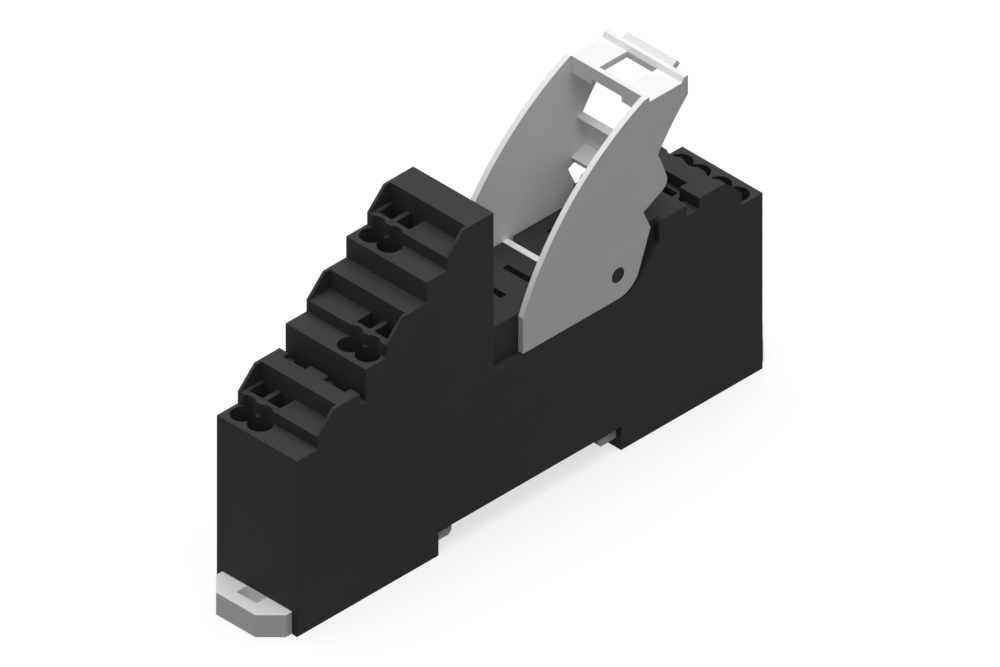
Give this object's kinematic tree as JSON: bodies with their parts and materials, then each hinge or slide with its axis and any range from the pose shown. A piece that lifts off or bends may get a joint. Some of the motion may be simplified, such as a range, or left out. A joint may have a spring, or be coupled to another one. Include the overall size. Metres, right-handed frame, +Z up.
{
  "type": "relay socket",
  "caption": "Rail-mounted relay socket: stepped black terminal block with a relay bay, swinging ejector bracket and sliding rail latches.",
  "frame": {"origin": "middle of the socket's length and width, at the soles of its feet", "axes": "+X along the socket from the three-tier end to the one-tier end, +Y across it, +Z up from the rail"},
  "size_m": [0.1018, 0.0162, 0.059],
  "materials": {
    "housing_plastic": "fine matte, moulded black polyamide",
    "light_plastic": "matte, moulded light grey polyamide",
    "contact_metal": "stamped copper alloy strip",
    "spring_steel": "bright rolled spring strip"
  },
  "bodies": {
    "socket": {"housing": "housing_plastic", "base_cover": "housing_plastic", "current_bar_tier_1": "contact_metal", "current_bar_tier_2": "contact_metal", "current_bar_tier_3": "contact_metal", "current_bar_coil_near": "contact_metal", "current_bar_coil_far": "contact_metal", "pin_receptacle_tier_1": "contact_metal", "pin_receptacle_tier_2": "contact_metal", "pin_receptacle_tier_3": "contact_metal", "pin_receptacle_coil_near": "contact_metal", "pin_receptacle_coil_far": "contact_metal", "latch_spring_left": "spring_steel", "latch_spring_right": "spring_steel", "clamp_spring_tier_1_a": "spring_steel", "clamp_spring_tier_1_b": "spring_steel", "clamp_spring_tier_2_a": "spring_steel", "clamp_spring_tier_2_b": "spring_steel", "clamp_spring_tier_3_a": "spring_steel", "clamp_spring_tier_3_b": "spring_steel", "clamp_spring_coil_near_a": "spring_steel", "clamp_spring_coil_near_b": "spring_steel", "clamp_spring_coil_far_a": "spring_steel", "clamp_spring_coil_far_b": "spring_steel"},
    "bracket": {"ejector_bracket": "light_plastic"},
    "latch_left": {"rail_latch_left": "light_plastic"},
    "latch_right": {"rail_latch_right": "light_plastic"}
  },
  "joints": [
    {"name": "bracket_pivot", "type": "hinge", "parent": "socket", "child": "bracket", "pos_m": [0.01775, 0, 0.0306], "axis": [0, 1, 0], "range_deg": [0, 24]},
    {"name": "latch_left_slide", "type": "slide", "parent": "socket", "child": "latch_left", "axis": [-1, 0, 0], "range_m": [0, 0.0032], "stiffness_N_per_m": 900, "springref_m": -0.001, "deforming": ["latch_spring_left"]},
    {"name": "latch_right_slide", "type": "slide", "parent": "socket", "child": "latch_right", "axis": [1, 0, 0], "range_m": [0, 0.0032], "stiffness_N_per_m": 900, "springref_m": -0.001, "deforming": ["latch_spring_right"]}
  ]
}
